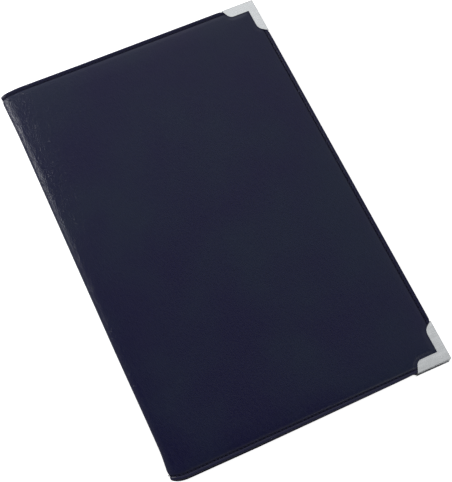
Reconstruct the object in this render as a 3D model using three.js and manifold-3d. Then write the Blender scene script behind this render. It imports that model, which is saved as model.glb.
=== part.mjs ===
// A closed faux leather document folder with a rounded fold at its spine and metal corners.
// Millimetres, +Z up. It lies on its back cover: the spine is at -X, the open edge at +X, the head at +Y.
// The origin is at the middle of the footprint, on the surface that the folder lies on.

import * as THREE from 'three';
import { mergeVertices } from 'three/addons/utils/BufferGeometryUtils.js';
import Module from 'manifold-3d';

const wasm = await Module();
wasm.setup();

// Driving dimensions
const coverWidth = 240; // spine fold to open edge
const coverHeight = 371; // tail to head
const spineFoldDepth = 7; // the rounded fold's reach in from the spine
const leatherThickness = 0.8;
const paddingThickness = 0.7;
const boardThickness = 1.2;
const liningThickness = 0.4;
const pocketThickness = 0.4;
const pageRoom = 1.0; // free height between the two pocket sheets
const boardSetback = 1.5; // from the end of the rounded fold to the boards
const boardCornerRadius = 3;
const spineCornerRadius = 5; // the cover's corners at the ends of the fold
const edgeCornerRadius = 1.5; // the cover's corners inside the metal ones

// Seam round the three open edges of each cover
const seamInset = 3.0; // edge to the middle of the stitched groove
const grooveWidth = 0.8;
const grooveDepth = 0.3;
const panelShoulder = 0.4; // chamfer along the padded panel
const liningShoulder = 0.4;

// Metal corners, each folded from one sheet
const cornerMetal = 0.5;
const cornerEdgeGap = 0.2; // between the cover's edge and the folded wall
const cornerArmAcross = 30; // along the head and tail edges
const cornerArmDown = 35; // along the open edge
const cornerBandAcross = 9.4; // width of the arm along the head and tail
const cornerBandDown = 7.7; // width of the arm along the open edge
const cornerEndAcross = 7.7; // length of the rounded end of each arm
const cornerEndDown = 10;
const cornerEndSlant = 0.29; // share of the rounded end that is its straight, slanted part
const cornerEndStraight = 0.54; // share of the band's width that the straight part covers
const cornerApexRadius = 1;
const cornerFlangeGap = 1.4; // from the flange folded under the rim to the raised lining
const cornerPress = 1.0; // the panel is pressed down this far round each metal corner

// Inside pockets, sewn in along three edges and open towards the head
const frontPocketHeight = 165;
const backPocketHeight = 250;
const pocketSpineGap = 6; // boards' spine edge to the pocket
const pocketCornerRadius = 6;

// Clearances
const fitGap = 0.3; // round the boards and padding
const creaseGap = 0.3; // between the fold and a cover, where the sheets bend

// Heights above a cover's outer face. The sewn rim lies under the padded panel by the metal's
// thickness, so that the metal corners are flush with the panel.
const rimDrop = cornerMetal;
const rimInner = rimDrop + leatherThickness;
const liningRim = rimInner + liningThickness;
const boardOuter = leatherThickness + paddingThickness;
const boardInner = boardOuter + boardThickness;
const coverInner = boardInner + liningThickness;
const pocketInner = coverInner + pocketThickness;
const folderThickness = 2 * pocketInner + pageRoom;

// Places across and up the folder
const cornerProud = cornerMetal + cornerEdgeGap;
const openEdge = (coverWidth + cornerProud) / 2 - cornerProud;
const spineEdge = openEdge - coverWidth;
const foldCentre = spineEdge + spineFoldDepth;
const headEdge = coverHeight / 2;
const middleHeight = folderThickness / 2;
const boardStart = foldCentre + boardSetback;
const panelInset = seamInset + grooveWidth / 2;
const cornerFlange = cornerProud + panelInset - cornerFlangeGap;
const liningInset = panelInset + liningShoulder;
const coreInset = Math.max(panelInset + leatherThickness, liningInset + liningThickness) + fitGap;
const liningWallStart = boardStart - fitGap - liningThickness;

// The covers swing about the creases. Each axis lies just outside the leather, where the rounded fold
// can unroll to its own length and come to lie flat beside the cover.
const quarterFold = new THREE.EllipseCurve(0, 0, spineFoldDepth, middleHeight, 0, Math.PI / 2).getLength();
const creaseOffset = (spineFoldDepth + middleHeight - quarterFold) / 2;
const creaseX = spineEdge + creaseOffset;
const creaseZ = creaseOffset;

const beyond = 20; // how far a cutting shape runs past what it cuts
const foldSegments = 14;
const cornerSegments = 6;

// Solids

function toSolid(geometry) {
  geometry.deleteAttribute('normal');
  geometry.deleteAttribute('uv');
  const merged = mergeVertices(geometry, 1e-4);
  return new wasm.Manifold(new wasm.Mesh({
    numProp: 3,
    vertProperties: Float32Array.from(merged.attributes.position.array),
    triVerts: Uint32Array.from(merged.index.array),
  }));
}

function toGeometry(solid) {
  const mesh = solid.getMesh();
  const geometry = new THREE.BufferGeometry();
  geometry.setAttribute('position', new THREE.BufferAttribute(mesh.vertProperties, 3));
  geometry.setIndex(new THREE.BufferAttribute(mesh.triVerts, 1));
  geometry.computeVertexNormals();
  return geometry;
}

// A shape in plan, raised from low to high. A shoulder chamfers both of its faces.
function plate(shape, low, high, shoulder = 0) {
  const geometry = new THREE.ExtrudeGeometry(shape, {
    depth: high - low - 2 * shoulder,
    bevelEnabled: shoulder > 0,
    bevelThickness: shoulder,
    bevelSize: shoulder,
    bevelOffset: -shoulder,
    bevelSegments: 1,
    curveSegments: cornerSegments,
  });
  geometry.translate(0, 0, low + shoulder);
  return toSolid(geometry);
}

// A section across the folder, run from past the tail to past the head.
function alongSpine(section) {
  const length = coverHeight + 2 * beyond;
  const geometry = new THREE.ExtrudeGeometry(section, {
    depth: length,
    bevelEnabled: false,
    curveSegments: foldSegments,
  });
  const upright = new THREE.Matrix4().set(1, 0, 0, 0, 0, 0, -1, length / 2, 0, 1, 0, 0, 0, 0, 0, 1);
  return toSolid(geometry.applyMatrix4(upright));
}

// The section of a sheet that wraps the closed folder, between two depths under the outer face.
function wrapSection(outer, inner) {
  const edge = openEdge + beyond;
  const down = 1.5 * Math.PI;
  const up = 0.5 * Math.PI;
  const section = new THREE.Shape();
  section.moveTo(edge, outer);
  section.lineTo(foldCentre, outer);
  section.absellipse(foldCentre, middleHeight, spineFoldDepth - outer, middleHeight - outer, down, up, true);
  section.lineTo(edge, folderThickness - outer);
  section.lineTo(edge, folderThickness - inner);
  section.lineTo(foldCentre, folderThickness - inner);
  section.absellipse(foldCentre, middleHeight, spineFoldDepth - inner, middleHeight - inner, up, down, false);
  section.lineTo(edge, inner);
  section.closePath();
  return section;
}

// A rectangle in plan with one radius at its spine corners and one at its open-edge corners.
function roundedOutline(left, right, bottom, top, leftRadius, rightRadius) {
  const outline = new THREE.Shape();
  outline.moveTo(left + leftRadius, bottom);
  outline.lineTo(right - rightRadius, bottom);
  outline.absarc(right - rightRadius, bottom + rightRadius, rightRadius, -Math.PI / 2, 0, false);
  outline.lineTo(right, top - rightRadius);
  outline.absarc(right - rightRadius, top - rightRadius, rightRadius, 0, Math.PI / 2, false);
  outline.lineTo(left + leftRadius, top);
  outline.absarc(left + leftRadius, top - leftRadius, leftRadius, Math.PI / 2, Math.PI, false);
  outline.lineTo(left, bottom + leftRadius);
  outline.absarc(left + leftRadius, bottom + leftRadius, leftRadius, Math.PI, 1.5 * Math.PI, false);
  return outline;
}

function coverOutline() {
  return roundedOutline(spineEdge, openEdge, -headEdge, headEdge, spineCornerRadius, edgeCornerRadius);
}

// The area inside the seam: it is set in from three edges and open towards the spine.
function insetOutline(inset, start = spineEdge - beyond, end = openEdge - inset) {
  const outline = new THREE.Shape();
  outline.moveTo(start, inset - headEdge);
  outline.lineTo(end, inset - headEdge);
  outline.lineTo(end, headEdge - inset);
  outline.lineTo(start, headEdge - inset);
  outline.closePath();
  return outline;
}

function wrapped(outer, inner, outline, shoulder = 0) {
  const area = plate(outline, 0, folderThickness, shoulder);
  return alongSpine(wrapSection(outer, inner)).intersect(area);
}

// Metal corners: side is 1 at the head and -1 at the tail

// The L-shaped face. Each arm ends in a short slanted line and a rounded shoulder.
function cornerFace(side, grow = 0) {
  const x = (distance) => openEdge + cornerProud - distance;
  const y = (distance) => side * (headEdge + cornerProud - distance);
  const acrossEnd = cornerArmAcross + grow;
  const acrossBand = cornerBandAcross + grow;
  const downEnd = cornerArmDown + grow;
  const downBand = cornerBandDown + grow;
  const acrossSlant = acrossEnd - cornerEndSlant * cornerEndAcross;
  const downSlant = downEnd - cornerEndSlant * cornerEndDown;
  const acrossTip = acrossEnd - cornerEndSlant * cornerEndAcross / cornerEndStraight;
  const downTip = downEnd - cornerEndSlant * cornerEndDown / cornerEndStraight;
  const face = new THREE.Shape();
  face.moveTo(x(cornerApexRadius), y(0));
  face.lineTo(x(acrossEnd), y(0));
  face.lineTo(x(acrossSlant), y(cornerEndStraight * acrossBand));
  face.quadraticCurveTo(x(acrossTip), y(acrossBand), x(acrossEnd - cornerEndAcross), y(acrossBand));
  face.lineTo(x(downBand), y(acrossBand));
  face.lineTo(x(downBand), y(downEnd - cornerEndDown));
  face.quadraticCurveTo(x(downBand), y(downTip), x(cornerEndStraight * downBand), y(downSlant));
  face.lineTo(x(0), y(downEnd));
  face.lineTo(x(0), y(cornerApexRadius));
  face.quadraticCurveTo(x(0), y(0), x(cornerApexRadius), y(0));
  return face;
}

// An L of even width along both edges, which makes the folded wall and the flange under the rim.
function cornerStrip(side, width) {
  const x = (distance) => openEdge + cornerProud - distance;
  const y = (distance) => side * (headEdge + cornerProud - distance);
  const strip = new THREE.Shape();
  strip.moveTo(x(cornerApexRadius), y(0));
  strip.lineTo(x(cornerArmAcross), y(0));
  strip.lineTo(x(cornerArmAcross), y(width));
  strip.lineTo(x(width), y(width));
  strip.lineTo(x(width), y(cornerArmDown));
  strip.lineTo(x(0), y(cornerArmDown));
  strip.lineTo(x(0), y(cornerApexRadius));
  strip.quadraticCurveTo(x(0), y(0), x(cornerApexRadius), y(0));
  return strip;
}

function metalCorner(side) {
  const flangeInner = liningRim + cornerMetal;
  return plate(cornerFace(side), rimDrop - cornerMetal, rimDrop)
    .add(plate(cornerStrip(side, cornerMetal), rimDrop - cornerMetal, flangeInner))
    .add(plate(cornerStrip(side, cornerFlange), liningRim, flangeInner));
}

function cornerPressing(grow) {
  const low = -beyond;
  const high = folderThickness + beyond;
  return plate(cornerFace(1, grow), low, high).add(plate(cornerFace(-1, grow), low, high));
}

// The two sheets that wrap round the spine, before they are divided at the creases

function leatherSheet() {
  const rim = wrapped(rimDrop, rimInner, coverOutline());
  const panel = wrapped(0, rimInner, insetOutline(panelInset), panelShoulder)
    .subtract(cornerPressing(cornerPress));
  const hollow = wrapped(leatherThickness, liningRim, insetOutline(panelInset + leatherThickness))
    .subtract(cornerPressing(cornerPress + leatherThickness));
  const groove = wrapped(-beyond / 2, rimDrop + grooveDepth, insetOutline(seamInset - grooveWidth / 2))
    .subtract(plate(insetOutline(panelInset), -beyond, folderThickness + beyond));
  const rounded = plate(coverOutline(), -beyond, folderThickness + beyond);
  return rim.add(panel).subtract(hollow).subtract(groove).intersect(rounded);
}

function liningSheet() {
  const plugInset = panelInset + leatherThickness + fitGap;
  const rim = wrapped(rimInner, liningRim, coverOutline());
  const plugEnd = liningWallStart + liningThickness;
  const plug = wrapped(leatherThickness, liningRim, insetOutline(plugInset, spineEdge - beyond, plugEnd));
  const block = insetOutline(liningInset - liningShoulder, liningWallStart);
  const blockBase = rimInner - liningShoulder;
  const raised = plate(block, blockBase, coverInner, liningShoulder)
    .add(plate(block, folderThickness - coverInner, folderThickness - blockBase, liningShoulder))
    .intersect(plate(insetOutline(0), rimInner, folderThickness - rimInner));
  const core = insetOutline(coreInset - fitGap, boardStart - fitGap);
  const hollow = plate(core, 0, boardInner).add(plate(core, folderThickness - boardInner, folderThickness));
  const rounded = plate(coverOutline(), -beyond, folderThickness + beyond);
  return rim.add(plug).add(raised).subtract(hollow).intersect(rounded);
}

// The back cover's share, the fold and the front cover's share of a sheet, parted at the two creases.
function partAtCreases(sheet) {
  const off = creaseGap / 2 / Math.SQRT2;
  const reach = middleHeight - creaseZ;
  const coverSection = (height) => {
    const section = new THREE.Shape();
    section.moveTo(creaseX + off - beyond, height(creaseZ - off - beyond));
    section.lineTo(openEdge + beyond, height(creaseZ - off - beyond));
    section.lineTo(openEdge + beyond, middleHeight);
    section.lineTo(creaseX + 2 * off + reach, middleHeight);
    section.closePath();
    return section;
  };
  const foldSection = new THREE.Shape();
  foldSection.moveTo(creaseX - 2 * off + reach, middleHeight);
  foldSection.lineTo(creaseX - off - beyond, creaseZ + off - beyond);
  foldSection.lineTo(creaseX - off - beyond, folderThickness - creaseZ - off + beyond);
  foldSection.closePath();
  return {
    back: sheet.intersect(alongSpine(coverSection((z) => z))),
    fold: sheet.intersect(alongSpine(foldSection)),
    front: sheet.intersect(alongSpine(coverSection((z) => folderThickness - z))),
  };
}

// Flat inner pieces

function coreOutline() {
  return roundedOutline(
    boardStart, openEdge - coreInset, coreInset - headEdge, headEdge - coreInset,
    boardCornerRadius, boardCornerRadius,
  );
}

function board() {
  return plate(coreOutline(), boardOuter, boardInner);
}

function padding() {
  return plate(coreOutline(), leatherThickness, boardOuter)
    .subtract(cornerPressing(cornerPress + leatherThickness + fitGap));
}

// A pocket sheet of the back cover, sewn at the tail, the open edge and its spine side.
function pocket(height) {
  const edge = liningInset + fitGap;
  const left = boardStart + pocketSpineGap;
  const bottom = edge - headEdge;
  const sheet = new THREE.Shape();
  sheet.moveTo(left, bottom);
  sheet.lineTo(openEdge - edge, bottom);
  sheet.lineTo(openEdge - edge, bottom + height);
  sheet.lineTo(left + pocketCornerRadius, bottom + height);
  sheet.absarc(
    left + pocketCornerRadius, bottom + height - pocketCornerRadius, pocketCornerRadius,
    Math.PI / 2, Math.PI, false,
  );
  sheet.closePath();
  return sheet;
}

// Turns a back cover's piece over about the folder's middle, so that its head becomes the tail.
function turnedOver(geometry) {
  const turn = new THREE.Matrix4().set(1, 0, 0, 0, 0, -1, 0, 0, 0, 0, -1, folderThickness, 0, 0, 0, 1);
  return geometry.applyMatrix4(turn);
}

// Finishes

const leather = new THREE.MeshStandardMaterial({ color: 0x23263a, roughness: 0.5, metalness: 0 });
const foam = new THREE.MeshStandardMaterial({ color: 0xd9d6cc, roughness: 0.95, metalness: 0 });
const greyboard = new THREE.MeshStandardMaterial({ color: 0x8d877c, roughness: 0.9, metalness: 0 });
const liningFabric = new THREE.MeshStandardMaterial({ color: 0x14151c, roughness: 0.8, metalness: 0 });
const pocketLeather = new THREE.MeshStandardMaterial({ color: 0x1b1d2a, roughness: 0.6, metalness: 0 });
const nickel = new THREE.MeshStandardMaterial({ color: 0xc8c9cc, roughness: 0.35, metalness: 1 });

function piece(name, geometry, material) {
  const mesh = new THREE.Mesh(geometry, material.clone());
  mesh.name = name;
  return mesh;
}

const leatherParts = partAtCreases(leatherSheet());
const liningParts = partAtCreases(liningSheet());

const backPocketSheet = plate(pocket(backPocketHeight), coverInner, pocketInner);
const frontPocketSheet = plate(
  pocket(frontPocketHeight), folderThickness - pocketInner, folderThickness - coverInner,
);

const backCover = new THREE.Group();
backCover.add(
  piece('back_leather', toGeometry(leatherParts.back), leather),
  piece('back_padding', toGeometry(padding()), foam),
  piece('back_board', toGeometry(board()), greyboard),
  piece('back_lining', toGeometry(liningParts.back), liningFabric),
  piece('back_pocket', toGeometry(backPocketSheet), pocketLeather),
  piece('back_top_corner', toGeometry(metalCorner(1)), nickel),
  piece('back_bottom_corner', toGeometry(metalCorner(-1)), nickel),
);

const spine = new THREE.Group();
spine.add(
  piece('spine_leather', toGeometry(leatherParts.fold), leather),
  piece('spine_lining', toGeometry(liningParts.fold), liningFabric),
);

const frontCover = new THREE.Group();
frontCover.add(
  piece('front_leather', toGeometry(leatherParts.front), leather),
  piece('front_padding', turnedOver(toGeometry(padding())), foam),
  piece('front_board', turnedOver(toGeometry(board())), greyboard),
  piece('front_lining', toGeometry(liningParts.front), liningFabric),
  piece('front_pocket', toGeometry(frontPocketSheet), pocketLeather),
  piece('front_top_corner', turnedOver(toGeometry(metalCorner(-1))), nickel),
  piece('front_bottom_corner', turnedOver(toGeometry(metalCorner(1))), nickel),
);

const folder = new THREE.Group();
folder.add(backCover, spine, frontCover);

export default folder;
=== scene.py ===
# A closed faux leather document folder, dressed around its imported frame.
import math

import bmesh
import bpy
import numpy as np
from mathutils import Matrix, Vector


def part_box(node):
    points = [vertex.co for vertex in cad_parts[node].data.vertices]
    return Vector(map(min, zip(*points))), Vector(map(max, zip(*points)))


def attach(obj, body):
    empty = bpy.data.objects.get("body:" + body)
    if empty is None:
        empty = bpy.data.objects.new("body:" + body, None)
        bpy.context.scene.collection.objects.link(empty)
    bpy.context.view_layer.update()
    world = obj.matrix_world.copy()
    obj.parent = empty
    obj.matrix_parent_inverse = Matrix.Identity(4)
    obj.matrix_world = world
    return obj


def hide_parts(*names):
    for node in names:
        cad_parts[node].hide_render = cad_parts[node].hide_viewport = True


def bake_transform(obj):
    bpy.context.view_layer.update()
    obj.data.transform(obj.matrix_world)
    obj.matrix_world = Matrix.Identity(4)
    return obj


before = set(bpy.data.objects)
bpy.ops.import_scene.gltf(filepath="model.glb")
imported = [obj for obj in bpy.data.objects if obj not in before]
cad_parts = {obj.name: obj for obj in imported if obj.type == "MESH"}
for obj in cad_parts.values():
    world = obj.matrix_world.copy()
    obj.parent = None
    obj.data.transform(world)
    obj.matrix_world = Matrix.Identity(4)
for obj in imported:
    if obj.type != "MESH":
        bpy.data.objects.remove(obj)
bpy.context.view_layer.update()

mm = 0.001

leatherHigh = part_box("front_leather")[1] / mm
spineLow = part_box("spine_leather")[0] / mm
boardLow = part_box("front_board")[0] / mm

# Shapes are in millimetres until a mesh is made, materials and the studio in metres
folder = {
    "thickness": leatherHigh.z,
    "openEdge": leatherHigh.x,
    "headEdge": leatherHigh.y,
    "spineEdge": spineLow.x,
    "boardStart": boardLow.x,
    "foldDepth": 7.0,
    "rimDrop": 0.5,
    "leather": 0.8,
    "lining": 0.4,
    "coverDepth": 3.1,  # outer face to the lining inside
    "seamInset": 3.0,
    "panelInset": 3.4,
}
middle = folder["thickness"] / 2
foldCentre = folder["spineEdge"] + folder["foldDepth"]

# A quarter of the spine fold as a table of arc length and angle, from the middle of the spine out
foldAngles = np.linspace(0, math.pi / 2, 400)
foldAcross = folder["foldDepth"] * np.cos(foldAngles)
foldCurve = np.stack([foldAcross, middle * np.sin(foldAngles)], axis=1)
foldArc = np.concatenate([[0], np.cumsum(np.linalg.norm(np.diff(foldCurve, axis=0), axis=1))])
quarterFold = foldArc[-1]
sheetEnd = quarterFold + folder["openEdge"] - foldCentre


def smooth(value):
    value = np.clip(value, 0, 1)
    return value * value * (3 - 2 * value)


def between(value, low, high):
    return smooth((value - low) / (high - low))


def planX(along):
    foldX = foldCentre - folder["foldDepth"] * np.cos(np.interp(along, foldArc, foldAngles))
    return np.where(along < quarterFold, foldX, foldCentre + along - quarterFold)


# How the sheets dip and spread at the two ends of the spine
spineEnds = {
    "headDip": 1.7,
    "headReach": 17.0,
    "headCurve": 1.2,
    "tailDip": 4.2,
    "tailReach": 15.0,
    "tailCurve": 2,
    "fadeFrom": 140.0,
    "tailFlare": 0.9,
    "headFlare": 1.0,
    "flareLength": 24.0,
    "headFlareLength": 48.0,
    "flareReach": 14.0,
    "tailBow": 0.5,  # the spine is drawn in above the tail's flare
    "bowStart": (60, 150),
    "bowEnd": (155, 180),
}


def endDip(along, up):
    k = spineEnds
    fromSpine = planX(along) - folder["spineEdge"]
    head = -k["headDip"] * np.clip(1 - fromSpine / k["headReach"], 0, 1) ** k["headCurve"]
    tail = k["tailDip"] * np.clip(1 - along / k["tailReach"], 0, 1) ** k["tailCurve"]
    return np.where(up > 0, head, tail) * between(np.abs(up), k["fadeFrom"], folder["headEdge"])


def endFlare(along, up):
    k = spineEnds
    head = folder["headEdge"]
    flare = k["tailFlare"] * between(-up, head - k["flareLength"], head)
    flare = flare + k["headFlare"] * between(up, head - k["headFlareLength"], head)
    flare = flare - k["tailBow"] * between(-up, *k["bowStart"]) * (1 - between(-up, *k["bowEnd"]))
    return flare * np.clip(1 - along / k["flareReach"], 0, 1) ** 2


# The edges of the leather stand out as far as the metal corners, and draw in under them
edgeSwell = {
    "shares": (0.0, 0.3, 0.55, 0.8, 0.9),  # of the way from the spine to the open edge
    "head": (1.5, 1.0, 1.0, 0.95, 1.0),
    "frontTail": (0.9, 0.8, 0.4, 0.1, -0.2),
    "backTail": (0.7, 0.65, -0.1, -0.85, -1.4),
    "open": 0.65,
    "reach": 7.0,
    "fade": (0.2, 2.2),
}


def swellOut(along, up, x, cover):
    k = edgeSwell
    clear = between(cornerDistance(x, up), *k["fade"])
    fromOpen = sheetEnd - along
    fromEnd = folder["headEdge"] - np.abs(up)
    share = np.clip(along / sheetEnd, 0, 1)
    head = np.interp(share, k["shares"], k["head"])
    tail = np.interp(share, k["shares"], k[cover + "Tail"])
    outX = k["open"] * np.clip(1 - fromOpen / k["reach"], 0, 1)
    outY = np.where(up > 0, head, -tail) * np.clip(1 - fromEnd / k["reach"], 0, 1)
    return outX * clear, outY * clear


# A place on a sheet: along it from the middle of the spine, up the folder and under the outer face
def onFolder(along, up, depth, cover):
    along, up, depth = np.broadcast_arrays(along, up, depth)
    angle = np.interp(along, foldArc, foldAngles)
    inFold = along < quarterFold
    foldX = foldCentre - (folder["foldDepth"] - depth) * np.cos(angle)
    x = np.where(inFold, foldX, foldCentre + along - quarterFold)
    z = np.where(inFold, middle + (middle - depth) * np.sin(angle), folder["thickness"] - depth)
    outX, outY = swellOut(along, up, x, cover)
    x = x + outX - endFlare(along, up)
    if cover == "back":
        z = folder["thickness"] - z
    return np.stack([x, up + outY + endDip(along, up), z], axis=-1)


# Metal corners: the outline of the L, as distances in from its two outer edges
cornerSizes = {
    "proud": 0.7,
    "armAcross": 30.0,
    "armDown": 35.0,
    "bandAcross": 9.4,
    "bandDown": 7.7,
    "endAcross": 7.7,
    "endDown": 10.0,
    "slant": 0.29,
    "straight": 0.54,
    "press": 1.0,  # leather held down round the metal
    "rise": 3.2,  # over which it comes up again
}


def curveThrough(a, b, c, steps=7):
    t = np.linspace(0, 1, steps)[:, None]
    return list((1 - t) ** 2 * np.array(a) + 2 * t * (1 - t) * np.array(b) + t * t * np.array(c))


def cornerOutline():
    k = cornerSizes
    acrossSlant = k["armAcross"] - k["slant"] * k["endAcross"]
    downSlant = k["armDown"] - k["slant"] * k["endDown"]
    acrossTip = k["armAcross"] - k["slant"] * k["endAcross"] / k["straight"]
    downTip = k["armDown"] - k["slant"] * k["endDown"] / k["straight"]
    points = curveThrough((0, 1), (0, 0), (1, 0), 4)
    points += [np.array((k["armAcross"], 0.0))]
    points += curveThrough((acrossSlant, k["straight"] * k["bandAcross"]),
                           (acrossTip, k["bandAcross"]),
                           (k["armAcross"] - k["endAcross"], k["bandAcross"]))
    points += [np.array((k["bandDown"], k["bandAcross"]))]
    points += curveThrough((k["bandDown"], k["armDown"] - k["endDown"]),
                           (k["bandDown"], downTip),
                           (k["straight"] * k["bandDown"], downSlant))
    points += [np.array((0.0, k["armDown"]))]
    return np.array(points)


# Distance from the metal's outline in plan, positive outside it
def cornerDistance(x, y):
    outline = cornerOutline()
    across = folder["openEdge"] + cornerSizes["proud"] - x
    down = folder["headEdge"] + cornerSizes["proud"] - np.abs(y)
    nearest = np.full(across.shape, 1e9)
    inside = np.zeros(across.shape, bool)
    for (ax, ay), (bx, by) in zip(outline, np.roll(outline, -1, axis=0)):
        dx, dy = bx - ax, by - ay
        share = np.clip(((across - ax) * dx + (down - ay) * dy) / (dx * dx + dy * dy), 0, 1)
        nearest = np.minimum(nearest, np.hypot(across - ax - share * dx, down - ay - share * dy))
        if ay != by:
            passed = across < (bx - ax) * (down - ay) / (by - ay) + ax
            inside ^= ((ay > down) != (by > down)) & passed
    return np.where(inside, -nearest, nearest)


# Grid lines of the sheets: close together at the edge, the seam and the metal corners
grid = {
    "rim": [0, 0.04, 0.16, 0.34, 0.6, 1.1, 1.8, 2.4, 2.65, 2.85,
            3.0, 3.15, 3.35, 3.6, 4.0, 4.6, 5.4, 6.4, 7.6],
    "foldStart": [0, 0.15, 0.4],
    "foldSteps": 15,
    "foldEnd": [0.6, 1.4, 2.6],
    "rimReach": 8.2,
    "acrossCorner": 41,
    "upCorner": 45,
    "cornerStep": 1.15,
    "acrossStep": 5.0,
    "upStep": 5.2,
    "weld": 0.02,  # points closer than this are joined
}


def gridLines():
    def nearRim(end, reach):
        corner = list(np.arange(end - reach, end - grid["rimReach"], grid["cornerStep"]))
        return corner + [end - line for line in reversed(grid["rim"])]

    fold = grid["foldStart"] + list(np.linspace(0.9, quarterFold, grid["foldSteps"]))
    fold += [quarterFold + line for line in grid["foldEnd"]]
    plainEnd = sheetEnd - grid["acrossCorner"] - 1
    plain = list(np.arange(quarterFold + 4.5, plainEnd, grid["acrossStep"]))
    along = np.array(fold + plain + nearRim(sheetEnd, grid["acrossCorner"]))
    plainEnd = folder["headEdge"] - grid["upCorner"] - 1
    upper = list(np.arange(3.0, plainEnd, grid["upStep"]))
    upper += nearRim(folder["headEdge"], grid["upCorner"])
    up = np.array([-line for line in reversed(upper)] + [0.0] + upper)
    return along, up


along, up = gridLines()
alongGrid, upGrid = np.meshgrid(along, up, indexing="ij")
xGrid = onFolder(alongGrid, upGrid, 0.0, "front")[..., 0]
fromOpen = sheetEnd - alongGrid
fromEnd = folder["headEdge"] - np.abs(upGrid)
fromEdge = np.minimum(fromOpen, fromEnd)
fromMetal = cornerDistance(xGrid, upGrid)
print("sheets are laid out on", alongGrid.shape, "lines")


# The sewn groove in section: 1 along the seam, fading out to either side
def grooveShare(width):
    return np.exp(-((fromEdge - folder["seamInset"]) / (width / 1.8)) ** 2)


# A closed sheet from two grids of points that share their border
def closedSheet(name, outer, inner, attributes, flip):
    rows, columns = outer.shape[:2]
    count = rows * columns
    points = np.concatenate([outer.reshape(-1, 3), inner.reshape(-1, 3)])
    index = np.arange(count).reshape(rows, columns)
    a, b, c, d = index[:-1, :-1], index[1:, :-1], index[1:, 1:], index[:-1, 1:]
    top = np.stack([a, b, c, d], axis=-1).reshape(-1, 4)
    bottom = top[:, ::-1] + count
    border = np.concatenate([index[:, 0], index[-1, 1:], index[-2::-1, -1], index[0, -2:0:-1]])
    following = np.roll(border, -1)
    wall = np.stack([following, border, border + count, following + count], axis=-1)
    faces = np.concatenate([top, bottom, wall])
    if flip:
        faces = faces[:, ::-1]
    mesh = bpy.data.meshes.new(name)
    mesh.from_pydata((points * mm).tolist(), [], faces.tolist())
    for label, values in attributes.items():
        layer = mesh.attributes.new(label, "FLOAT", "POINT")
        layer.data.foreach_set("value", np.concatenate([values.ravel()] * 2).astype(np.float32))
    shape = bmesh.new()
    shape.from_mesh(mesh)
    bmesh.ops.remove_doubles(shape, verts=shape.verts, dist=grid["weld"] * mm)
    shape.to_mesh(mesh)
    shape.free()
    return smoothPiece(name, mesh)


def smoothPiece(name, mesh, sharp=50):
    mesh.shade_smooth()
    mesh.set_sharp_from_angle(angle=math.radians(sharp))
    piece = bpy.data.objects.new(name, mesh)
    bpy.context.scene.collection.objects.link(piece)
    return piece


# Materials
def newMaterial(name):
    material = bpy.data.materials.new(name)
    material.use_nodes = True
    tree = material.node_tree
    return material, tree, tree.nodes["Principled BSDF"]


def addNode(tree, kind, inputs=None, **settings):
    node = tree.nodes.new(kind)
    for key, value in settings.items():
        setattr(node, key, value)
    for key, value in (inputs or {}).items():
        if isinstance(value, bpy.types.NodeSocket):
            tree.links.new(value, node.inputs[key])
        else:
            node.inputs[key].default_value = value
    return node


def colourRamp(tree, fac, stops):
    ramp = addNode(tree, "ShaderNodeValToRGB", {"Fac": fac})
    elements = ramp.color_ramp.elements
    for position, value in stops[2:]:
        elements.new(position)
    for element, (position, value) in zip(elements, stops):
        element.position = position
        element.color = (*value, 1) if isinstance(value, tuple) else (value, value, value, 1)
    return ramp.outputs["Color"]


def mixColour(tree, fac, a, b, blend="MIX"):
    node = tree.nodes.new("ShaderNodeMix")
    node.data_type = "RGBA"
    node.blend_type = blend
    for socket, value in ((node.inputs[0], fac), (node.inputs[6], a), (node.inputs[7], b)):
        if isinstance(value, bpy.types.NodeSocket):
            tree.links.new(value, socket)
        else:
            socket.default_value = (*value, 1) if isinstance(value, tuple) else value
    return node.outputs[2]


def mathNode(tree, operation, a, b=0.0):
    return addNode(tree, "ShaderNodeMath", {0: a, 1: b}, operation=operation).outputs[0]


def vectorNode(tree, operation, a, b):
    return addNode(tree, "ShaderNodeVectorMath", {0: a, 1: b}, operation=operation).outputs


def noiseNode(tree, place, scale, detail=2.0, **more):
    inputs = {"Vector": place, "Scale": scale, "Detail": detail, **more}
    return addNode(tree, "ShaderNodeTexNoise", inputs).outputs


# Bump from a height, on top of another bump if there is one
def bumpNode(tree, height, depth, strength, under=None):
    inputs = {"Strength": strength, "Distance": depth, "Height": height}
    if under is not None:
        inputs["Normal"] = under
    return addNode(tree, "ShaderNodeBump", inputs).outputs["Normal"]


def attributeNode(tree, name):
    return addNode(tree, "ShaderNodeAttribute", attribute_name=name).outputs["Fac"]


leatherLook = {
    "colour": (0.0040, 0.0040, 0.0310),
    "lightColour": (0.0048, 0.0090, 0.0305),
    # painted shade: the sewn groove is drawn darker in colour, where it lies in shade
    "grooveShadeColour": (0.0006, 0.0005, 0.0130),
    # painted highlight: the rim drawn lighter, as where it catches the light
    "rimHighlightColour": (0.0060, 0.0058, 0.0290),
    "roughness": (0.29, 0.36),
    "grooveRoughness": 0.3,  # that much rougher in the groove
    "specular": 0.24,
    "patchScale": 14.0,
    # size of the patches in the painted rim highlight
    "rimPatchScale": 90.0,
    "warpScale": 260.0,
    "warp": 0.0011,
    "grainScale": 900.0,
    "poreScale": 2600.0,
    "creaseHeight": 0.7,
    "domeHeight": 0.35,
    "poreHeight": 0.25,
    "grainDepth": 0.00004,
    "crinkleScale": 400.0,
    "crinkleDepth": 0.00024,
    "crinkleTurn": 0.35,
}


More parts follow.
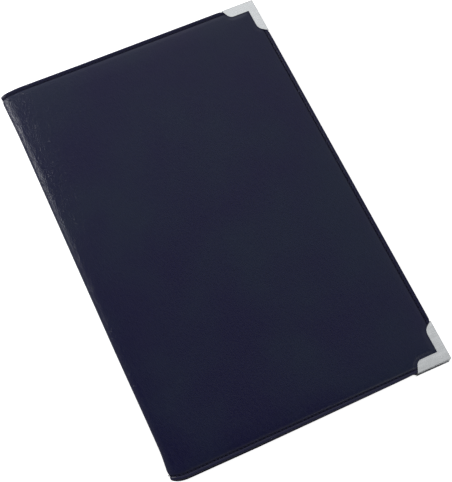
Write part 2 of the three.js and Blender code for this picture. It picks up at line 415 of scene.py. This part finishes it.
def leatherMaterial(name, look):
    material, tree, shader = newMaterial(name)
    place = addNode(tree, "ShaderNodeTexCoord").outputs["Object"]

    # pebbled grain with pores
    warp = noiseNode(tree, place, look["warpScale"])["Color"]
    bent = vectorNode(tree, "MULTIPLY", warp, (look["warp"],) * 3)[0]
    moved = vectorNode(tree, "ADD", place, bent)[0]
    pebbles = {"Vector": moved, "Scale": look["grainScale"]}
    cells = [addNode(tree, "ShaderNodeTexVoronoi", pebbles, feature=kind)
             for kind in ("DISTANCE_TO_EDGE", "F1")]
    toEdge, toCentre = (cell.outputs["Distance"] for cell in cells)
    pores = noiseNode(tree, place, look["poreScale"], 3.0)["Fac"]
    creases = colourRamp(tree, toEdge, [(0.0, 0.0), (0.16, 1.0)])
    dome = mathNode(tree, "SUBTRACT", 1.0, toCentre)
    height = mathNode(tree, "MULTIPLY", creases, look["creaseHeight"])
    for relief, share in ((dome, look["domeHeight"]), (pores, look["poreHeight"])):
        height = mathNode(tree, "ADD", height, mathNode(tree, "MULTIPLY", relief, share))

    # colour: cloudy, darker in the grain's creases, painted shade in the sewn groove and a painted
    # highlight in patches along the rim
    clouds = noiseNode(tree, place, look["patchScale"], 5.0, Roughness=0.6)["Fac"]
    patches = colourRamp(tree, clouds, [(0.38, 0.0), (0.64, 1.0)])
    colour = mixColour(tree, patches, look["colour"], look["lightColour"])
    fine = colourRamp(tree, creases, [(0.0, 0.72), (1.0, 1.0)])
    colour = mixColour(tree, 1.0, colour, fine, "MULTIPLY")
    # painted highlight along the rim, broken into patches by noise
    rimPatches = noiseNode(tree, place, look["rimPatchScale"], 4.0)["Fac"]
    rimPatches = colourRamp(tree, rimPatches, [(0.3, 0.35), (0.65, 1.0)])
    rimHighlight = mathNode(tree, "MULTIPLY", attributeNode(tree, "rim"), rimPatches)
    colour = mixColour(tree, rimHighlight, colour, look["rimHighlightColour"])
    # painted shade: the sewn groove darkened in colour
    groove = attributeNode(tree, "groove")
    colour = mixColour(tree, groove, colour, look["grooveShadeColour"])
    tree.links.new(colour, shader.inputs["Base Color"])

    low, high = look["roughness"]
    gloss = mathNode(tree, "ADD", mathNode(tree, "MULTIPLY", patches, high - low), low)
    dulled = mathNode(tree, "MULTIPLY", groove, look["grooveRoughness"])
    tree.links.new(mathNode(tree, "ADD", gloss, dulled), shader.inputs["Roughness"])
    shader.inputs["Specular IOR Level"].default_value = look["specular"]

    # crinkles where it has been worked soft
    turn = {"Vector": place, "Scale": (1.0, 0.45, 1.0), "Rotation": (0.0, 0.0, look["crinkleTurn"])}
    drawn = addNode(tree, "ShaderNodeMapping", turn).outputs[0]
    folds = noiseNode(tree, drawn, look["crinkleScale"], 4.0, Roughness=0.6, Distortion=0.6)["Fac"]
    fromMiddle = mathNode(tree, "ABSOLUTE", mathNode(tree, "SUBTRACT", folds, 0.5))
    ridges = colourRamp(tree, fromMiddle, [(0.0, 0.0), (0.12, 1.0)])
    crinkle = mathNode(tree, "MULTIPLY", ridges, attributeNode(tree, "worked"))
    grain = bumpNode(tree, height, look["grainDepth"], 0.6)
    crinkled = bumpNode(tree, crinkle, look["crinkleDepth"], 0.5, grain)
    tree.links.new(crinkled, shader.inputs["Normal"])
    return material


pocketLook = {
    **leatherLook,
    "colour": (0.0045, 0.0050, 0.0190),
    "lightColour": (0.0055, 0.0070, 0.0210),
    # painted highlight along the pocket's edges
    "rimHighlightColour": (0.0070, 0.0075, 0.0210),
    "roughness": (0.50, 0.58),
    "specular": 0.15,
    "grainScale": 1300.0,
}

metalLook = {
    "colour": (0.66, 0.68, 0.695),
    "dullColour": (0.60, 0.62, 0.635),
    # painted shade: a dark line along the metal's bent outer edges
    "edgeShadeColour": (0.34, 0.35, 0.37),
    "edgeShadeWidth": 0.45,
    "roughness": (0.16, 0.26),
    "brushScale": 900.0,
    "brushDepth": 0.00001,
    "spotScale": 220.0,
}


def metalMaterial(name, look):
    material, tree, shader = newMaterial(name)
    place = addNode(tree, "ShaderNodeTexCoord").outputs["Object"]
    stretch = {"Vector": place, "Scale": (0.06, 1.0, 1.0)}
    drawn = addNode(tree, "ShaderNodeMapping", stretch).outputs[0]
    lines = noiseNode(tree, drawn, look["brushScale"], 3.0)["Fac"]
    spots = noiseNode(tree, place, look["spotScale"], 5.0)["Fac"]
    worn = colourRamp(tree, spots, [(0.35, 0.0), (0.7, 1.0)])
    dulled = mathNode(tree, "MULTIPLY", worn, 0.5)
    colour = mixColour(tree, dulled, look["colour"], look["dullColour"])

    # painted shade along the two bent edges, as a dark outline
    axes = addNode(tree, "ShaderNodeSeparateXYZ", {0: place}).outputs
    fromMiddle = [axes["X"], mathNode(tree, "ABSOLUTE", axes["Y"])]
    edges = []
    for distance, end in zip(fromMiddle, (folder["openEdge"], folder["headEdge"])):
        end += cornerSizes["proud"]
        span = {
            "Value": distance,
            "From Min": (end - look["edgeShadeWidth"]) * mm,
            "From Max": (end - 0.4 * look["edgeShadeWidth"]) * mm,
        }
        edges.append(addNode(tree, "ShaderNodeMapRange", span).outputs["Result"])
    colour = mixColour(tree, mathNode(tree, "MAXIMUM", *edges), colour, look["edgeShadeColour"])
    tree.links.new(colour, shader.inputs["Base Color"])

    low, high = look["roughness"]
    streaks = colourRamp(tree, lines, [(0.3, 0.0), (0.7, 1.0)])
    gloss = mathNode(tree, "ADD", mathNode(tree, "MULTIPLY", streaks, high - low), low)
    gloss = mathNode(tree, "ADD", gloss, mathNode(tree, "MULTIPLY", worn, 0.05))
    tree.links.new(gloss, shader.inputs["Roughness"])
    shader.inputs["Metallic"].default_value = 1.0
    tree.links.new(bumpNode(tree, lines, look["brushDepth"], 0.25), shader.inputs["Normal"])
    return material


threadLook = {
    "colour": (0.0070, 0.0075, 0.0300),
    "lightColour": (0.0180, 0.0190, 0.0520),
    "twistScale": 900.0,
    "twistDepth": 0.00004,
}


def threadMaterial(name, look):
    material, tree, shader = newMaterial(name)
    place = addNode(tree, "ShaderNodeTexCoord").outputs["Object"]
    inputs = {"Vector": place, "Scale": look["twistScale"], "Distortion": 1.5}
    twist = addNode(tree, "ShaderNodeTexWave", inputs, bands_direction="DIAGONAL").outputs["Fac"]
    strands = colourRamp(tree, twist, [(0.25, 0.0), (0.75, 1.0)])
    colour = mixColour(tree, strands, look["colour"], look["lightColour"])
    tree.links.new(colour, shader.inputs["Base Color"])
    gloss = mathNode(tree, "ADD", mathNode(tree, "MULTIPLY", strands, 0.15), 0.5)
    tree.links.new(gloss, shader.inputs["Roughness"])
    shader.inputs["Specular IOR Level"].default_value = 0.12
    tree.links.new(bumpNode(tree, twist, look["twistDepth"], 0.5), shader.inputs["Normal"])
    return material


# near-black pips standing in for the shade inside the needle holes
def holeShadeMaterial(name, dark, light):
    material, tree, shader = newMaterial(name)
    place = addNode(tree, "ShaderNodeTexCoord").outputs["Object"]
    noise = noiseNode(tree, place, 1500.0)["Fac"]
    colour = colourRamp(tree, noise, [(0.3, dark), (0.7, light)])
    tree.links.new(colour, shader.inputs["Base Color"])
    shader.inputs["Roughness"].default_value = 0.9
    shader.inputs["Specular IOR Level"].default_value = 0.05
    return material


liningLook = {
    "colour": (0.0050, 0.0055, 0.0095),
    "threadColour": (0.0150, 0.0160, 0.0240),
    "weaveScale": 520.0,
    "weaveDepth": 0.00008,
    "slubScale": 60.0,
}


def liningMaterial(name, look):
    material, tree, shader = newMaterial(name)
    place = addNode(tree, "ShaderNodeTexCoord").outputs["Object"]
    inputs = {"Vector": place, "Scale": look["weaveScale"], "Distortion": 0.6, "Detail Scale": 3.0}
    warp, weft = (addNode(tree, "ShaderNodeTexWave", inputs, bands_direction=axis).outputs["Fac"]
                  for axis in ("X", "Y"))
    weave = mathNode(tree, "MAXIMUM", warp, weft)
    slubs = noiseNode(tree, place, look["slubScale"], 5.0)["Fac"]
    shade = mathNode(tree, "MULTIPLY", weave, colourRamp(tree, slubs, [(0.3, 0.5), (0.7, 1.0)]))
    colour = mixColour(tree, shade, look["colour"], look["threadColour"])
    tree.links.new(colour, shader.inputs["Base Color"])
    gloss = mathNode(tree, "SUBTRACT", 0.9, mathNode(tree, "MULTIPLY", shade, 0.2))
    tree.links.new(gloss, shader.inputs["Roughness"])
    shader.inputs["Specular IOR Level"].default_value = 0.2
    shader.inputs["Sheen Weight"].default_value = 0.15
    shader.inputs["Sheen Roughness"].default_value = 0.4
    tree.links.new(bumpNode(tree, weave, look["weaveDepth"], 0.6), shader.inputs["Normal"])
    return material


def coreMaterial(name, dark, light, scale, depth):
    material, tree, shader = newMaterial(name)
    place = addNode(tree, "ShaderNodeTexCoord").outputs["Object"]
    fibres = noiseNode(tree, place, scale, 8.0, Roughness=0.7)["Fac"]
    colour = colourRamp(tree, fibres, [(0.3, dark), (0.7, light)])
    gloss = colourRamp(tree, fibres, [(0.3, 0.95), (0.7, 0.8)])
    tree.links.new(colour, shader.inputs["Base Color"])
    tree.links.new(gloss, shader.inputs["Roughness"])
    tree.links.new(bumpNode(tree, fibres, depth, 0.5), shader.inputs["Normal"])
    return material


leatherFinish = leatherMaterial("navy_leather", leatherLook)
pocketFinish = leatherMaterial("pocket_leather", pocketLook)
metalFinish = metalMaterial("satin_nickel", metalLook)
threadFinish = threadMaterial("navy_thread", threadLook)
# painted shade in the needle holes
holeShadeFinish = holeShadeMaterial("needle_hole_shade", (0.001, 0.001, 0.003), (0.004, 0.004, 0.009))
liningFinish = liningMaterial("woven_lining", liningLook)
foamFinish = coreMaterial("foam", (0.52, 0.49, 0.42), (0.74, 0.71, 0.64), 700.0, 0.0002)
boardFinish = coreMaterial("greyboard", (0.19, 0.17, 0.14), (0.33, 0.30, 0.25), 350.0, 0.00005)


def dress(piece, *materials):
    piece.data.materials.clear()
    for material in materials:
        piece.data.materials.append(material)


print("materials are made")

# Faux leather skins
skin = {
    "crown": 0.6,  # the padded panel swells this much over its edge
    "crownReach": 19.0,
    "crownSag": 0.3,  # and lies lower by this share in its middle
    "sagRange": (25, 70),
    "heldCrown": 0.3,  # what is left of it beside the metal
    "spineFade": (-3, 12),  # no padding before the end of the fold
    "shoulder": 4.5,
    "shoulderCurve": 2.4,
    "grooveDepth": 0.55,
    "grooveWidth": 1.25,
    "grooveInside": 0.2,  # how far the groove shows on the underside
    "grooveShadeWidth": 1.35,  # of the painted shade line in the groove
    "rimRise": 0.34,  # the rim rises this much towards its edge
    "rimClear": (0.3, 9),  # from the metal, where it starts to rise
    "edgeRadius": 0.6,
    "turnedDepth": 1.72,  # the edge is turned in to here
    "turnedWidth": 0.5,
    "unevenness": 0.10,
}


# The sewn rim rises from the seam to its edge, except where the metal holds it level
def rimRise():
    outward = np.clip(1 - fromEdge / folder["seamInset"], 0, 1)
    return skin["rimRise"] * outward * between(fromMetal, *skin["rimClear"])


# Long waves and shorter ripples, from 0 to 1, as padding settles
def unevenness(x, y):
    wave = np.sin(x / 31.0 + 0.7 + np.sin(y / 47.0))
    wave = wave + np.sin(y / 37.0 + 1.9 + 1.3 * np.sin(x / 53.0 + 0.4))
    ripple = np.sin(x / 13.0 - y / 19.0 + 0.8)
    ripple = ripple + np.sin(x / 17.0 + y / 11.0 + 2.2 * np.sin(y / 61.0))
    return 0.5 + 0.17 * wave + 0.08 * ripple


def skinDepths(cover):
    inset = fromEdge - folder["panelInset"]
    rise = 1 - np.clip(1 - inset / skin["shoulder"], 0, 1) ** skin["shoulderCurve"]
    press = cornerSizes["press"]
    held = between(fromMetal, press * 0.5, press + cornerSizes["rise"])
    panel = np.where(inset > 0, rise, 0) * held
    depth = folder["rimDrop"] * (1 - panel)
    groove = grooveShare(skin["grooveWidth"])
    underside = depth + skin["grooveInside"] * groove - rimRise() + folder["leather"]
    depth = depth + skin["grooveDepth"] * groove - rimRise()
    if cover == "front":
        crown = 1 - np.clip(1 - np.maximum(inset, 0) / skin["crownReach"], 0, 1) ** 2
        crown = crown * (1 - skin["crownSag"] * between(inset, *skin["sagRange"]))
        crown = crown * (skin["heldCrown"] + (1 - skin["heldCrown"]) * held)
        flat = between(alongGrid - quarterFold, *skin["spineFade"])
        depth = depth - skin["crown"] * crown * flat * np.where(inset > 0, 1, 0)
        depth = depth - skin["unevenness"] * panel * flat * unevenness(xGrid, upGrid)
    radius = skin["edgeRadius"]
    lift = radius * (1 - np.sqrt(1 - (1 - np.clip(fromEdge / radius, 0, 1)) ** 2))
    outerDepth = depth + lift
    turned = fromEdge < skin["turnedWidth"]
    innerDepth = np.where(turned, skin["turnedDepth"] - rimRise() - lift, underside)
    return outerDepth, np.maximum(innerDepth, outerDepth)


# The leather is worked soft by opening: most at the spine, and towards the head
working = {
    "least": 0.3,
    "start": 4,
    "tailReach": 8,
    "headReach": 34,
    "tailShare": 0.35,
    "towardsHead": (-120, 150),
}


def workedShare():
    k = working
    toHead = between(upGrid, *k["towardsHead"])
    reach = k["tailReach"] + (k["headReach"] - k["tailReach"]) * toHead
    atSpine = np.exp(-np.maximum(alongGrid - k["start"], 0) / reach)
    upward = k["tailShare"] + (1 - k["tailShare"]) * toHead
    return k["least"] + (1 - k["least"]) * atSpine * upward


def makeSkin(name, cover):
    outerDepth, innerDepth = skinDepths(cover)
    outer = onFolder(alongGrid, upGrid, outerDepth, cover)
    inner = onFolder(alongGrid, upGrid, innerDepth, cover)
    attributes = {
        # groove: where the painted shade of the sewn groove goes
        "groove": grooveShare(skin["grooveShadeWidth"]),
        # rim: where the painted rim highlight goes
        "rim": between(folder["seamInset"] - fromEdge, -0.1, 0.5),
        "worked": workedShare(),
    }
    return closedSheet(name, outer, inner, attributes, flip=cover == "back")


def followFold(piece):
    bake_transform(piece)


for cover in ("front", "back"):
    piece = makeSkin(cover + "_skin", cover)
    dress(piece, leatherFinish)
    followFold(piece)
    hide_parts(cover + "_leather")
    if cover == "front":
        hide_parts("spine_leather")
print("leather skins are made")

# Lining
liner = {
    "inset": 0.52,  # it ends behind the turned edge of the leather
    "cutInset": 0.6,  # to its last grid line
    "trayInset": 3.8,
    "trayWall": 1.5,
    "spineWall": 2.4,
    "wallShift": 0.3,
    "clearance": 0.02,
}


def linerDepths():
    fromSpine = xGrid - folder["boardStart"]
    shift = liner["wallShift"]
    wall = between(fromEdge - liner["trayInset"], -shift, liner["trayWall"] - shift)
    wall = wall * between(fromSpine, -liner["spineWall"], shift)
    rimShare = 1 - between(fromEdge, folder["panelInset"] - 0.2, folder["panelInset"] + 1.4)
    low = folder["leather"] + folder["rimDrop"] * rimShare + liner["clearance"] - rimRise()
    low = low + skin["grooveInside"] * grooveShare(skin["grooveWidth"])
    depth = low + (folder["coverDepth"] - folder["lining"] - low) * wall
    return depth, depth + folder["lining"]


def makeLining(name, cover):
    outerDepth, innerDepth = linerDepths()
    keep = fromEdge >= liner["inset"]
    rows, columns = keep.any(axis=1), keep.any(axis=0)
    window = np.ix_(rows, columns)
    outer = onFolder(alongGrid, upGrid, innerDepth, cover)[window]
    inner = onFolder(alongGrid, upGrid, outerDepth, cover)[window]
    return closedSheet(name, outer, inner, {}, flip=cover == "front")


for cover in ("front", "back"):
    piece = makeLining(cover + "_liner", cover)
    dress(piece, liningFinish)
    followFold(piece)
    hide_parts(cover + "_lining")
    if cover == "front":
        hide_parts("spine_lining")
print("linings are made")

# Pockets
pocketSheet = {
    "hem": 9.0,
    "hemThickness": 0.22,
    "hemRound": (0.3, -0.1, -0.4),  # grid lines over the fold of the hem
    "bow": 0.22,  # the open edge stands this far off the lining
    "bowReach": 60,
    "cornerRadius": 6.0,
    "edgeRound": 0.14,
    "edgeReach": 0.3,
    "rimWidth": 1.0,
    "worked": 0.1,
    "clearance": 0.02,
}


def pocketLines(width, height):
    hem = pocketSheet["hem"]
    across = [[0, 0.1, 0.3], np.linspace(1, 12, 12), np.linspace(16, width - 6, 32)]
    across += [[width - line for line in (3, 1, 0.3, 0.1, 0)]]
    lower = [[0, 0.1, 0.3, 1, 3], np.linspace(7, height - hem - 4, 36)]
    upper = [hem + line for line in pocketSheet["hemRound"]] + [6, 4.5, 3, 1.6, 0.8, 0.3, 0.1, 0]
    upward = np.concatenate([*lower, height - np.array(upper)])
    return np.meshgrid(np.concatenate(across), upward, indexing="ij")


def makePocket(name, cover):
    k = pocketSheet
    low, high = (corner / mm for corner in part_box(cover + "_pocket"))
    width, height, thickness = high - low
    right, above = pocketLines(width, height)

    # the corner at the hem is cut round
    radius = k["cornerRadius"]
    corner = np.clip(radius - right, 0, radius)
    cut = radius - np.sqrt(np.maximum(radius ** 2 - corner ** 2, 0))
    y = low.y + above - cut * between(above, height - 4 * radius, height)

    hem = between(above, height - k["hem"] - 0.2, height - k["hem"] + 0.3)
    opening = between(above, height - k["bowReach"], height)
    lift = k["bow"] * opening * np.sin(math.pi * np.clip(right / width, 0, 1))
    edge = np.minimum.reduce([right, width - right, above, height - above])
    rounding = k["edgeRound"] * (1 - np.clip(edge / k["edgeReach"], 0, 1))
    top = thickness + k["hemThickness"] * hem + lift - rounding
    bottom = lift + rounding + k["clearance"]
    if cover == "back":
        outerZ, innerZ = low.z + top, low.z + bottom
    else:
        outerZ, innerZ = high.z - top, high.z - bottom
    outer = np.stack([low.x + right, y, outerZ], axis=-1)
    inner = np.stack([low.x + right, y, innerZ], axis=-1)
    plain = np.zeros_like(edge)
    # the pocket's rim, where the painted highlight goes
    rim = between(-edge, -k["rimWidth"], 0)
    attributes = {"rim": rim, "groove": plain, "worked": plain + k["worked"]}
    return closedSheet(name, outer, inner, attributes, flip=cover == "front"), low, high


pocketPlaces = {}
for cover in ("front", "back"):
    piece, low, high = makePocket(cover + "_pocket_sheet", cover)
    pocketPlaces[cover] = low, high
    dress(piece, pocketFinish)
    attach(piece, cover + "_cover")
    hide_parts(cover + "_pocket")
print("pockets are made")

# Metal corners
metalBevel = {
    "fold": 0.42,  # the rounded bend along the outer edges
    "trim": 0.16,  # the softened cut edges
    "steps": 4,
    "sharp": 40,  # degrees
    "flat": 1,  # degrees, below which faces are joined
    "weld": 0.005,
    "onFace": 0.02,
    "level": 0.01,
}


def makeCorner(name, node):
    k = metalBevel
    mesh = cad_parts[node].data.copy()
    mesh.name = name
    mesh.materials.clear()
    shape = bmesh.new()
    shape.from_mesh(mesh)
    bmesh.ops.remove_doubles(shape, verts=shape.verts, dist=k["weld"] * mm)
    flat = math.radians(k["flat"])
    bmesh.ops.dissolve_limit(shape, angle_limit=flat, verts=shape.verts, edges=shape.edges)
    weights = shape.edges.layers.float.new("bevel_weight_edge")
    low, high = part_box(node)
    for edge in shape.edges:
        if len(edge.link_faces) != 2 or not edge.is_convex:
            continue
        if edge.calc_face_angle(0) < math.radians(k["sharp"]):
            continue
        ends = [vert.co for vert in edge.verts]
        outerX = all(co.x > high.x - k["onFace"] * mm for co in ends)
        outerY = all(abs(co.y) > max(abs(high.y), abs(low.y)) - k["onFace"] * mm for co in ends)
        level = all(abs(co.z - ends[0].z) < k["level"] * mm for co in ends)
        edge[weights] = 1.0 if level and (outerX or outerY) else k["trim"] / k["fold"]
    shape.to_mesh(mesh)
    shape.free()
    piece = smoothPiece(name, mesh, k["sharp"])
    bevel = piece.modifiers.new("rounding", "BEVEL")
    bevel.limit_method = "WEIGHT"
    bevel.width = k["fold"] * mm
    bevel.segments = k["steps"]
    bevel.harden_normals = True
    return piece


for cover in ("front", "back"):
    for end in ("top", "bottom"):
        node = f"{cover}_{end}_corner"
        piece = makeCorner(node + "_metal", node)
        dress(piece, metalFinish)
        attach(piece, cover + "_cover")
        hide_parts(node)
print("metal corners are made")

# Stitching
stitch = {
    "pitch": 3.2,
    "length": 2.3,
    "thread": 0.6,
    "hole": 0.7,
    "sink": 0.1,
    "slant": 4.0,  # degrees
    "pocketInset": 1.6,
    "hemInset": 1.4,
    "steps": 260,  # points on each side of the seam
    "start": 0.8,  # of the seam, from the middle of the spine
    "outsideSink": 0.1,
    "insideRise": 0.08,
    "insideShift": 0.2,
    "pocketSink": 0.05,
    "pocketTop": 1.5,
    "hemEnd": 1.0,
    "hemLift": 0.2,
    "hemSteps": 24,
}


def stitchTree():
    tree = bpy.data.node_groups.new("stitching", "GeometryNodeTree")
    sockets = tree.interface
    sockets.new_socket("Seam", in_out="INPUT", socket_type="NodeSocketGeometry")
    for label in ("Pitch", "Stitch Length", "Thread", "Hole", "Slant"):
        sockets.new_socket(label, in_out="INPUT", socket_type="NodeSocketFloat")
    sockets.new_socket("Stitches", in_out="OUTPUT", socket_type="NodeSocketGeometry")
    start = tree.nodes.new("NodeGroupInput").outputs

    def geometry(kind, first, **inputs):
        return addNode(tree, "GeometryNode" + kind, {0: first, **inputs}).outputs[0]

    seam = {"Curve": start["Seam"], "Length": start["Pitch"]}
    rows = addNode(tree, "GeometryNodeCurveToPoints", seam, mode="LENGTH").outputs

    # threads: slim capsules along the seam, each leaning its own way
    ball = geometry("MeshUVSphere", 8, Rings=6, Radius=0.5)
    size = {"X": start["Thread"], "Y": start["Thread"], "Z": start["Stitch Length"]}
    slim = geometry("Transform", ball, Scale=addNode(tree, "ShaderNodeCombineXYZ", size).outputs[0])
    spread = {2: -1.0, 3: 1.0, "Seed": 11}
    wobble = addNode(tree, "FunctionNodeRandomValue", spread, data_type="FLOAT")
    lean = mathNode(tree, "MULTIPLY", wobble.outputs[1], start["Slant"])
    turn = {
        "Rotation": rows["Rotation"],
        "Rotate By": addNode(tree, "ShaderNodeCombineXYZ", {"X": lean, "Y": lean}).outputs[0],
    }
    turned = addNode(tree, "FunctionNodeRotateRotation", turn, rotation_space="LOCAL").outputs[0]
    threads = geometry("InstanceOnPoints", rows["Points"], Instance=slim, Rotation=turned)
    threads = geometry("SetShadeSmooth", geometry("RealizeInstances", threads))
    threads = geometry("SetMaterial", threads, Material=threadFinish)

    # needle holes as dark pips of painted shade, halfway to the next stitch
    half = mathNode(tree, "MULTIPLY", start["Pitch"], 0.5)
    step = {0: rows["Tangent"], "Scale": half}
    ahead = addNode(tree, "ShaderNodeVectorMath", step, operation="SCALE").outputs[0]
    halfway = geometry("SetPosition", rows["Points"], Offset=ahead)
    pip = geometry("MeshUVSphere", 8, Rings=4, Radius=0.5)
    holes = geometry("InstanceOnPoints", halfway, Instance=pip, Scale=start["Hole"])
    holes = geometry("SetMaterial", geometry("RealizeInstances", holes), Material=holeShadeFinish)

    both = tree.nodes.new("GeometryNodeJoinGeometry")
    tree.links.new(holes, both.inputs[0])
    tree.links.new(threads, both.inputs[0])
    finish = tree.nodes.new("NodeGroupOutput")
    tree.links.new(both.outputs[0], finish.inputs[0])
    return tree


stitching = stitchTree()


# Turns rows of points into sewn stitches, as one plain mesh
def sew(name, seams):
    curve = bpy.data.curves.new(name + "_path", "CURVE")
    curve.dimensions = "3D"
    for points in seams:
        line = curve.splines.new("POLY")
        line.points.add(len(points) - 1)
        places = np.concatenate([points * mm, np.ones((len(points), 1))], axis=1)
        line.points.foreach_set("co", places.ravel())
    path = bpy.data.objects.new(name + "_path", curve)
    bpy.context.scene.collection.objects.link(path)
    sewing = path.modifiers.new("sewing", "NODES")
    sewing.node_group = stitching
    sizes = {
        "Pitch": stitch["pitch"] * mm,
        "Stitch Length": stitch["length"] * mm,
        "Thread": stitch["thread"] * mm,
        "Hole": stitch["hole"] * mm,
        "Slant": math.radians(stitch["slant"]),
    }
    for item in stitching.interface.items_tree:
        if item.item_type == "SOCKET" and item.in_out == "INPUT" and item.name in sizes:
            sewing[item.identifier] = sizes[item.name]
    bpy.context.view_layer.update()
    evaluated = path.evaluated_get(bpy.context.evaluated_depsgraph_get())
    mesh = bpy.data.meshes.new_from_object(evaluated)
    mesh.name = name
    piece = bpy.data.objects.new(name, mesh)
    bpy.context.scene.collection.objects.link(piece)
    bpy.data.objects.remove(path)
    return piece


def seamPath(cover, inset, depth):
    alongs = np.linspace(stitch["start"], sheetEnd - inset, stitch["steps"])
    side = folder["headEdge"] - inset
    head = onFolder(alongs, side, depth, cover)
    ups = np.linspace(side, -side, stitch["steps"])[1:-1]
    edge = onFolder(sheetEnd - inset, ups, depth, cover)
    tail = onFolder(alongs[::-1], -side, depth, cover)
    return np.concatenate([head, edge, tail])


# Round three sides of a pocket, and along its hem
def pocketSeams(cover):
    low, high = pocketPlaces[cover]
    k = stitch
    inset = k["pocketInset"]
    left, right, bottom = low.x + inset, high.x - inset, low.y + inset
    outward = 1 if cover == "back" else -1
    z = high.z - k["pocketSink"] if cover == "back" else low.z + k["pocketSink"]
    leftTop = high.y - pocketSheet["cornerRadius"]
    rightTop = high.y - k["pocketTop"]
    border = [(left, leftTop, z), (left, bottom, z), (right, bottom, z), (right, rightTop, z)]
    hemStart, hemLength = left + k["hemEnd"], right - left - 2 * k["hemEnd"]
    hemY = high.y - pocketSheet["hem"] + k["hemInset"]
    bow = pocketSheet["bow"] * between(hemY, high.y - pocketSheet["bowReach"], high.y)
    hem = []
    for share in np.linspace(0, 1, k["hemSteps"]):
        lift = k["hemLift"] + bow * math.sin(math.pi * share)
        hem.append((hemStart + hemLength * share, hemY, z + outward * lift))
    return [np.array(border), np.array(hem)]


for cover in ("front", "back"):
    sunk = folder["rimDrop"] + stitch["sink"]
    innerFace = folder["rimDrop"] + folder["leather"] + folder["lining"]
    raised = innerFace - stitch["sink"] + stitch["insideRise"]
    outside = seamPath(cover, folder["seamInset"], sunk + stitch["outsideSink"])
    inside = seamPath(cover, folder["seamInset"] - stitch["insideShift"], raised)
    piece = sew(cover + "_stitches", [outside, inside])
    followFold(piece)
    piece = sew(cover + "_pocket_stitches", pocketSeams(cover))
    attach(piece, cover + "_cover")
print("stitches are sewn")

# Pieces inside the covers
for cover in ("front", "back"):
    dress(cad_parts[cover + "_padding"], foamFinish)
    dress(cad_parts[cover + "_board"], boardFinish)

# Floor, background and lights
studio = {
    "floorSize": 12.0,
    "floorColour": (0.80, 0.80, 0.80),
    "floorGlow": 0.68,
    "floorDrop": 0.00002,  # just clear of the cover
    "worldStrength": 0.40,
    "towards": (0.6, 0.8),  # the mirrored room is brighter to this side, past a dark strip
    "room": [(-0.2, 0.50), (0.02, 0.10), (0.24, 0.02), (0.325, 0.92)],
}


def makeFloor():
    half = studio["floorSize"] / 2
    corners = [(-half, -half, 0), (half, -half, 0), (half, half, 0), (-half, half, 0)]
    mesh = bpy.data.meshes.new("floor")
    mesh.from_pydata(corners, [], [(0, 1, 2, 3)])
    floor = bpy.data.objects.new("floor", mesh)
    bpy.context.scene.collection.objects.link(floor)
    floor.location.z = -studio["floorDrop"]
    material, tree, shader = newMaterial("pale_floor")
    shader.inputs["Base Color"].default_value = (*studio["floorColour"], 1)
    shader.inputs["Roughness"].default_value = 0.9
    shader.inputs["Specular IOR Level"].default_value = 0.1
    shader.inputs["Emission Color"].default_value = (1, 1, 1, 1)
    seen = addNode(tree, "ShaderNodeLightPath").outputs["Is Camera Ray"]
    glow = mathNode(tree, "MULTIPLY", seen, studio["floorGlow"])
    tree.links.new(glow, shader.inputs["Emission Strength"])
    mesh.materials.append(material)


def makeWorld():
    world = bpy.data.worlds.new("studio")
    bpy.context.scene.world = world
    world.use_nodes = True
    tree = world.node_tree
    background = tree.nodes["Background"]
    paths = addNode(tree, "ShaderNodeLightPath").outputs
    mirrored = mathNode(tree, "MAXIMUM", paths["Is Glossy Ray"], paths["Is Transmission Ray"])
    direction = addNode(tree, "ShaderNodeTexCoord").outputs["Generated"]
    share = vectorNode(tree, "DOT_PRODUCT", direction, (*studio["towards"], 0.0))["Value"]
    half = mathNode(tree, "ADD", mathNode(tree, "MULTIPLY", share, 0.5), 0.5)
    room = colourRamp(tree, half, [((place + 1) / 2, value) for place, value in studio["room"]])
    unmirrored = mathNode(tree, "SUBTRACT", 1.0, mirrored)
    plain = mathNode(tree, "MULTIPLY", unmirrored, studio["worldStrength"])
    lit = mathNode(tree, "ADD", plain, mathNode(tree, "MULTIPLY", mirrored, room))
    strength = mathNode(tree, "MAXIMUM", paths["Is Camera Ray"], lit)
    background.inputs["Color"].default_value = (1, 1, 1, 1)
    tree.links.new(strength, background.inputs["Strength"])


lamps = {
    "back": {"place": (0.3, 1.05, 0.66), "size": 0.5, "power": 0.8},
    "side": {"place": (-0.68, 0.70, 0.48), "size": 0.2, "power": 8.0},
    "front": {"place": (0.9, -0.9, 1.0), "size": 0.7, "power": 7.0},
}


def makeLamps():
    for name, lamp in lamps.items():
        light = bpy.data.lights.new(name, "AREA")
        light.shape = "SQUARE"
        light.size = lamp["size"]
        light.energy = lamp["power"]
        holder = bpy.data.objects.new(name, light)
        bpy.context.scene.collection.objects.link(holder)
        holder.location = lamp["place"]
        holder.rotation_euler = (-Vector(lamp["place"])).to_track_quat("-Z", "Y").to_euler()


cameraView = {
    "place": (-0.18695, -0.3891, 0.9448),
    "azimuth": 26.84,
    "elevation": 66.18,
    "roll": 2.34,
    "lens": 92.81,
}


def makeCamera():
    data = bpy.data.cameras.new("camera")
    data.lens = cameraView["lens"]
    data.sensor_width = 36.0
    camera = bpy.data.objects.new("camera", data)
    bpy.context.scene.collection.objects.link(camera)
    azimuth = math.radians(cameraView["azimuth"])
    elevation = math.radians(cameraView["elevation"])
    roll = math.radians(cameraView["roll"])
    level = Vector((math.sin(azimuth), math.cos(azimuth), 0))
    ahead = level * math.cos(elevation) - Vector((0, 0, math.sin(elevation)))
    right = ahead.cross(Vector((0, 0, 1))).normalized()
    above = right.cross(ahead)
    turnedRight = right * math.cos(roll) + above * math.sin(roll)
    turnedAbove = above * math.cos(roll) - right * math.sin(roll)
    turn = Matrix((turnedRight, turnedAbove, -ahead)).transposed()
    camera.matrix_world = Matrix.Translation(cameraView["place"]) @ turn.to_4x4()
    bpy.context.scene.camera = camera


makeFloor()
makeWorld()
makeLamps()
makeCamera()
bpy.context.scene.view_settings.view_transform = "Standard"
print("the studio is set")
